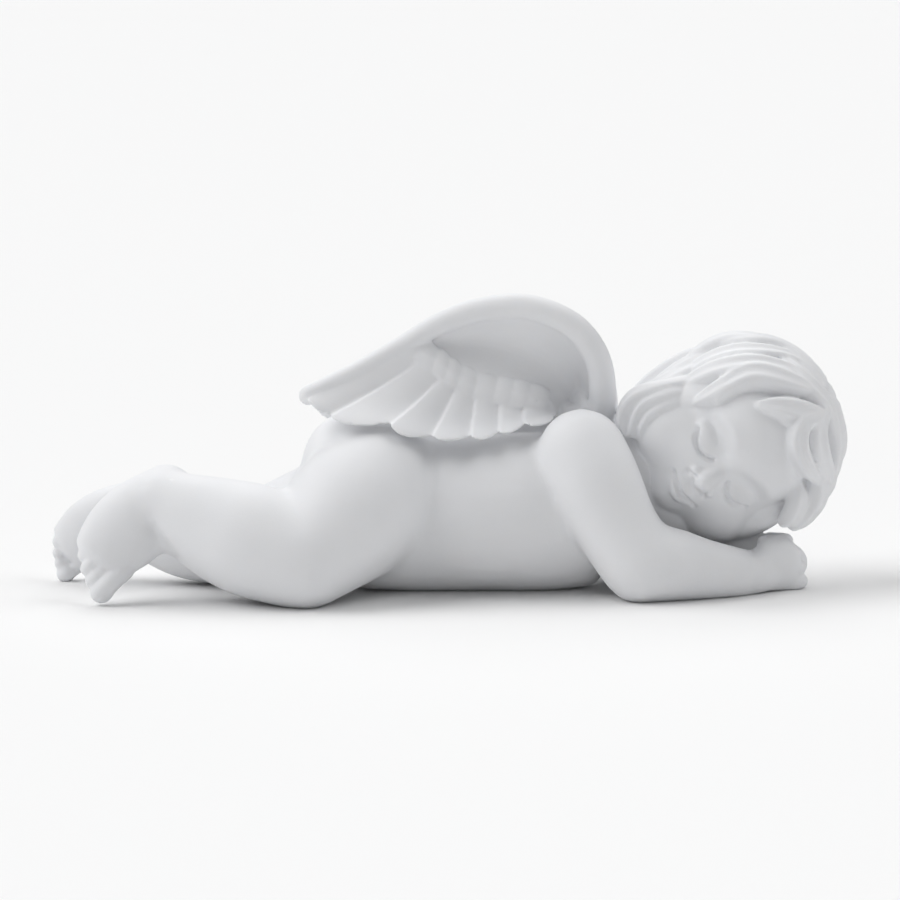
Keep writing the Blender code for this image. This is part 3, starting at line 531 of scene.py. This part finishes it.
def press(points, normals, path, look, width, depth):
    """Moves the points near the path inwards, or outwards for a negative depth, with soft edges.

    The path is followed as it is seen along look, so it need not lie on the skin exactly.
    """
    curve = catmull_rom([tuple(p) for p in path], 8)
    look = np.array(look) / np.linalg.norm(look)
    reach = 3 * width + 2.5
    low, high = curve.min(axis=0) - reach, curve.max(axis=0) + reach
    facing = normals @ look > LEAST_FACING
    close = np.flatnonzero(((points > low) & (points < high)).all(axis=1) & facing)
    if not len(close):
        return
    here = points[close]
    nearest = np.full(len(close), 1e9)
    for a, b in zip(curve[:-1], curve[1:]):
        line = b - a
        line = line - look * (line @ look)
        away = here - a
        away = away - np.outer(away @ look, look)
        t = np.clip(away @ line / (line @ line + 1e-12), 0, 1)
        nearest = np.minimum(nearest, ((away - t[:, None] * line) ** 2).sum(axis=1))
    points[close] -= normals[close] * (depth * np.exp(-nearest / width**2))[:, None]


def pressed_lines():
    """Each line as its path, the side it is seen from, its width and its depth."""
    def face(*path):
        return [on_head(*point) for point in path], FACING
    for side in (-1, 1):
        yield *face((side * 2.7, -4.7, 12.6), (side * 4.1, -5.8, 13), (side * 5.8, -6.2, 13),
                    (side * 7.5, -5.8, 12), (side * 9.0, -4.6, 11)), 0.4, 0.95
        yield *face((side * 3.0, -2.0, 12.6), (side * 5.8, -0.7, 13.0), (side * 8.8, -2.0, 11.2)), 0.9, 0.16
        yield *face((side * 3.2, 0.8, 14), (side * 6.2, 1.8, 13), (side * 9.2, 0.6, 12)), 1.2, -0.3
        yield *face((side * 1.9, -8.9, 15.2), (side * 2.9, -9.9, 14)), 0.5, 0.5
    yield *face((-3.9, -12.7, 13), (-1.7, -13.0, 14.4), (0, -13.25, 14.8), (1.7, -13.0, 14.4),
                (3.9, -12.7, 13)), 0.42, 0.85
    yield [(56.5, -9.5, 9.5), (57.0, -9.5, 5.5), (56.2, -8.5, 2.0)], (0, -1, 0.2), 1.3, 0.4
    yield [(-54.5, -18, 14.5), (-52.2, -18, 11.5), (-50.5, -17, 9.0)], (0, -1, 0), 0.9, 0.5


def sockets():
    """The hollows of the eyes, pressed before the lids are laid in."""
    for side in (-1, 1):
        yield [on_head(side * 3.6, -2.6, 13), on_head(side * 7.4, -2.8, 12)], FACING, 2.6, 1.1


def press_lines(skin, lines):
    count = len(skin.vertices)
    points = np.empty(count * 3)
    skin.vertices.foreach_get("co", points)
    points = points.reshape(-1, 3)
    normals = np.empty(count * 3, np.float32)
    skin.vertex_normals.foreach_get("vector", normals)
    normals = normals.reshape(-1, 3).astype(float)
    for path, look, width, depth in lines:
        press(points, normals, path, look, width, depth)
    skin.vertices.foreach_set("co", points.ravel())
    skin.update()


def softened_face(skin):
    """The skin with the face smoothed where its features were laid on, and the rest left sharp."""
    holder = held(skin, "face")
    group = holder.vertex_groups.new(name="face")
    middle = on_head(0, -8, 14)
    for vertex in skin.vertices:
        away = (vertex.co - middle).length
        if away < FACE_REACH:
            group.add([vertex.index], min(1, (FACE_REACH - away) / FACE_FADE), "REPLACE")
    soft = add_smoothing(holder, FACE_SOFTENING)
    soft.vertex_group = "face"
    return applied(holder)


def largest_piece(bm):
    """Deletes all but the piece of the mesh that has the most vertices."""
    left = set(bm.verts)
    pieces = []
    while left:
        found = {left.pop()}
        edge = list(found)
        while edge:
            v = edge.pop()
            for link in v.link_edges:
                other = link.other_vert(v)
                if other in left:
                    left.remove(other)
                    found.add(other)
                    edge.append(other)
        pieces.append(found)
    pieces.sort(key=len)
    for piece in pieces[:-1]:
        bmesh.ops.delete(bm, geom=list(piece), context="VERTS")


def thinned(skin, triangles):
    """The mesh with this many triangles left, fewest where it is flattest."""
    holder = held(skin, "thin")
    skin.calc_loop_triangles()
    fewer = holder.modifiers.new("fewer", "DECIMATE")
    fewer.ratio = min(1, triangles / len(skin.loop_triangles))
    fewer.use_collapse_triangulate = True
    return applied(holder)


def ground_flat(bm, height):
    """Cuts away what hangs below the height and closes the cuts with flat faces."""
    everything = [*bm.verts, *bm.edges, *bm.faces]
    bmesh.ops.bisect_plane(bm, geom=everything, plane_co=(0, 0, height), plane_no=(0, 0, -1),
                           clear_outer=True)
    rim = [edge for edge in bm.edges if edge.is_boundary]
    bmesh.ops.holes_fill(bm, edges=rim, sides=0)
    bmesh.ops.triangulate(bm, faces=bm.faces)


def body_mesh():
    bm = bmesh.new()
    add_trunk(bm)
    add_legs(bm)
    add_arms(bm)
    add_foot(bm, RIGHT_ANKLE, RIGHT_FOOT, RIGHT_SCALE)
    add_foot(bm, LEFT_ANKLE, LEFT_FOOT, LEFT_SCALE)
    add_hand(bm)
    add_neck(bm)
    return fused(bm, BODY_VOXEL, BODY_SOFTENING, "body")


def head_mesh():
    bm = bmesh.new()
    add_head(bm)
    head = fused(bm, BODY_VOXEL, HEAD_SOFTENING, "head")
    press_lines(head, sockets())
    return head


def figure_mesh():
    """The whole skin, still in drawn millimetres and not yet cut flat."""
    bm = bmesh.new()
    bm.from_mesh(body_mesh())
    bm.from_mesh(head_mesh())
    add_features(bm)
    add_hair(bm)
    add_wing(bm, near)
    add_wing(bm, far)
    add_toes(bm, RIGHT_ANKLE, RIGHT_FOOT, RIGHT_SCALE)
    add_toes(bm, LEFT_ANKLE, LEFT_FOOT, LEFT_SCALE)
    add_fingers(bm)
    skin = fused(bm, DETAIL_VOXEL, DETAIL_SOFTENING, "skin")
    skin = softened_face(skin)
    press_lines(skin, pressed_lines())
    return thinned(skin, TRIANGLES)


# Looks

PORCELAIN_TINTS = [(0.3, (0.775, 0.782, 0.80, 1)), (0.7, (0.825, 0.83, 0.845, 1))]
PORCELAIN_ROUGHNESS = (0.52, 0.68)
FLOOR_PAINT = (0.86, 0.86, 0.86, 1)
ROOM_TINT = (0.97, 0.98, 1.0, 1)
ROOM_GLOW = 0.07

# Name, the direction that it shines from, strength, and its width in the sky in degrees.
SUNS = [("key", (-0.7, -0.05, 0.7), 2.0, 50), ("back", (0, 0.6, 0.8), 1.2, 50),
        ("side", (0.7, 0, 0.7), 1.1, 50), ("front", (-0.1, -1, 0.4), 0.35, 40)]

LENS = 213.8            # millimetres, for a sensor 36 mm wide
CAMERA_RISE = math.radians(8)
CAMERA_TARGET = Vector((0.0003, 0, 0.0262))


def add_noise(tree, place, scale, detail, roughness=0.5):
    noise = tree.nodes.new("ShaderNodeTexNoise")
    noise.inputs["Scale"].default_value = scale
    noise.inputs["Detail"].default_value = detail
    noise.inputs["Roughness"].default_value = roughness
    tree.links.new(place.outputs["Object"], noise.inputs["Vector"])
    return noise.outputs["Fac"]


def add_tint(tree, place, shader):
    """A faint cloudiness in the colour."""
    tint = tree.nodes.new("ShaderNodeValToRGB")
    for stop, (position, colour) in zip(tint.color_ramp.elements, PORCELAIN_TINTS):
        stop.position = position
        stop.color = colour
    tree.links.new(add_noise(tree, place, 45, 3), tint.inputs["Fac"])
    tree.links.new(tint.outputs["Color"], shader.inputs["Base Color"])


def add_roughness(tree, place, shader):
    """A matte surface with slightly smoother patches."""
    rough = tree.nodes.new("ShaderNodeMapRange")
    for end, value in zip(("To Min", "To Max"), PORCELAIN_ROUGHNESS):
        rough.inputs[end].default_value = value
    tree.links.new(add_noise(tree, place, 160, 4), rough.inputs["Value"])
    tree.links.new(rough.outputs["Result"], shader.inputs["Roughness"])


def add_grain(tree, place, shader):
    """A very fine grain, which only shows close by."""
    bump = tree.nodes.new("ShaderNodeBump")
    bump.inputs["Strength"].default_value = 0.25
    bump.inputs["Distance"].default_value = 0.00008
    tree.links.new(add_noise(tree, place, 2600, 3, 0.6), bump.inputs["Height"])
    tree.links.new(bump.outputs["Normal"], shader.inputs["Normal"])


def porcelain():
    """Unglazed porcelain: near-white with a cool cast, and a little light passing through thin edges."""
    made = bpy.data.materials.new("bisque_porcelain")
    made.use_nodes = True
    tree = made.node_tree
    shader = tree.nodes["Principled BSDF"]
    shader.inputs["Subsurface Weight"].default_value = 0.12
    shader.inputs["Subsurface Radius"].default_value = (1.0, 0.9, 0.8)
    shader.inputs["Subsurface Scale"].default_value = 0.0015
    shader.inputs["Specular IOR Level"].default_value = 0.4
    place = tree.nodes.new("ShaderNodeTexCoord")
    add_tint(tree, place, shader)
    add_roughness(tree, place, shader)
    add_grain(tree, place, shader)
    return made


def add_figure():
    """The figure, cut flat underneath and fitted to the solid's box."""
    mesh = figure_mesh()
    bm = bmesh.new()
    bm.from_mesh(mesh)
    largest_piece(bm)
    ground_flat(bm, GROUND)
    low, high = (np.array(corner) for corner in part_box("sleeping_angel"))
    spots = np.array([v.co for v in bm.verts])
    own_low, own_high = spots.min(axis=0), spots.max(axis=0)
    scale = (high[0] - low[0]) / (own_high[0] - own_low[0])
    centre = Vector((*(0.5 * (own_low + own_high))[:2], GROUND))
    base = Vector((*(0.5 * (low + high))[:2], low[2]))
    for v in bm.verts:
        v.co = (v.co - centre) * scale + base
    bm.to_mesh(mesh)
    bm.free()
    mesh.shade_smooth()
    figure = bpy.data.objects.new("angel", mesh)
    bpy.context.scene.collection.objects.link(figure)
    mesh.materials.clear()
    mesh.materials.append(porcelain())
    return figure


def add_floor():
    bpy.ops.mesh.primitive_plane_add(size=12, location=(0, 2, 0))
    floor = bpy.context.object
    floor.name = "floor"
    paint = bpy.data.materials.new("floor_paint")
    paint.use_nodes = True
    shader = paint.node_tree.nodes["Principled BSDF"]
    shader.inputs["Base Color"].default_value = FLOOR_PAINT
    shader.inputs["Roughness"].default_value = 0.9
    floor.data.materials.append(paint)


def aimed(item, target):
    item.rotation_euler = (Vector(target) - item.location).to_track_quat("-Z", "Y").to_euler()


def add_sun(name, place, strength, softness):
    """A soft distant lamp in that direction, even over the whole floor."""
    lamp = bpy.data.lights.new(name, "SUN")
    lamp.energy = strength
    lamp.angle = math.radians(softness)
    item = bpy.data.objects.new(name, lamp)
    item.location = Vector(place).normalized()
    bpy.context.scene.collection.objects.link(item)
    aimed(item, (0, 0, 0))


def add_camera():
    """A long lens a metre away, looking along +Y and a little down, as in the photograph."""
    lens = bpy.data.cameras.new("camera")
    lens.lens = LENS
    lens.sensor_width = 36
    lens.clip_end = 30
    camera = bpy.data.objects.new("camera", lens)
    bpy.context.scene.collection.objects.link(camera)
    camera.location = CAMERA_TARGET + Vector((0, -math.cos(CAMERA_RISE), math.sin(CAMERA_RISE)))
    aimed(camera, CAMERA_TARGET)
    bpy.context.scene.camera = camera


def light_the_room():
    scene = bpy.context.scene
    scene.view_settings.view_transform = "Standard"
    world = bpy.data.worlds.new("studio")
    scene.world = world
    world.use_nodes = True
    glow = world.node_tree.nodes["Background"]
    glow.inputs["Color"].default_value = ROOM_TINT
    glow.inputs["Strength"].default_value = ROOM_GLOW
    for sun in SUNS:
        add_sun(*sun)


angel = add_figure()
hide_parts("sleeping_angel")
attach(angel, "root")
add_floor()
add_camera()
light_the_room()
